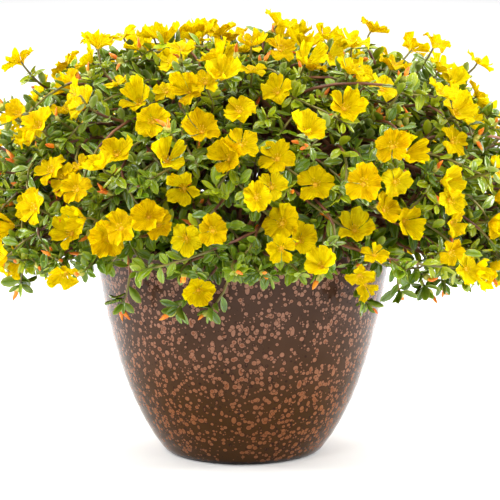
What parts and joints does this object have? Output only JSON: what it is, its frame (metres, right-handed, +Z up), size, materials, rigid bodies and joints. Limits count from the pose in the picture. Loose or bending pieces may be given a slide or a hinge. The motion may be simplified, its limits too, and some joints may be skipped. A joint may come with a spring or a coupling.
{
  "type": "potted portulaca",
  "caption": "Spreading moss rose in full yellow bloom, in a round speckled brown glazed bowl of soil; a patio plant that stands on its flat foot.",
  "frame": {"origin": "middle of the pot's flat underside", "axes": "+Z up along the pot's axis, -Y towards the front as seen in the picture, +X to the right"},
  "size_m": [0.6027, 0.4756, 0.4175],
  "materials": {
    "glaze": "glossy speckled glaze",
    "soil": "matt moist potting mix",
    "stem": "smooth fleshy stem",
    "foliage": "satin fleshy leaves and petals"
  },
  "bodies": {
    "root": {"pot": "glaze", "soil": "soil", "rooted_foot": "stem", "stem_top_1": "stem", "stem_upper_1": "stem", "stem_upper_2": "stem", "stem_upper_3": "stem", "stem_upper_4": "stem", "stem_upper_5": "stem", "stem_shoulder_1": "stem", "stem_shoulder_2": "stem", "stem_shoulder_3": "stem", "stem_shoulder_4": "stem", "stem_shoulder_5": "stem", "stem_shoulder_6": "stem", "stem_shoulder_7": "stem", "stem_shoulder_8": "stem", "stem_skirt_1": "stem", "stem_skirt_2": "stem", "stem_skirt_3": "stem", "stem_skirt_4": "stem", "stem_skirt_5": "stem", "stem_skirt_6": "stem", "stem_skirt_7": "stem", "stem_skirt_8": "stem", "foliage_top_1": "foliage", "foliage_upper_1": "foliage", "foliage_upper_2": "foliage", "foliage_upper_3": "foliage", "foliage_upper_4": "foliage", "foliage_upper_5": "foliage", "foliage_shoulder_1": "foliage", "foliage_shoulder_2": "foliage", "foliage_shoulder_3": "foliage", "foliage_shoulder_4": "foliage", "foliage_shoulder_5": "foliage", "foliage_shoulder_6": "foliage", "foliage_shoulder_7": "foliage", "foliage_shoulder_8": "foliage", "foliage_skirt_1": "foliage", "foliage_skirt_2": "foliage", "foliage_skirt_3": "foliage", "foliage_skirt_4": "foliage", "foliage_skirt_5": "foliage", "foliage_skirt_6": "foliage", "foliage_skirt_7": "foliage", "foliage_skirt_8": "foliage"}
  },
  "joints": []
}
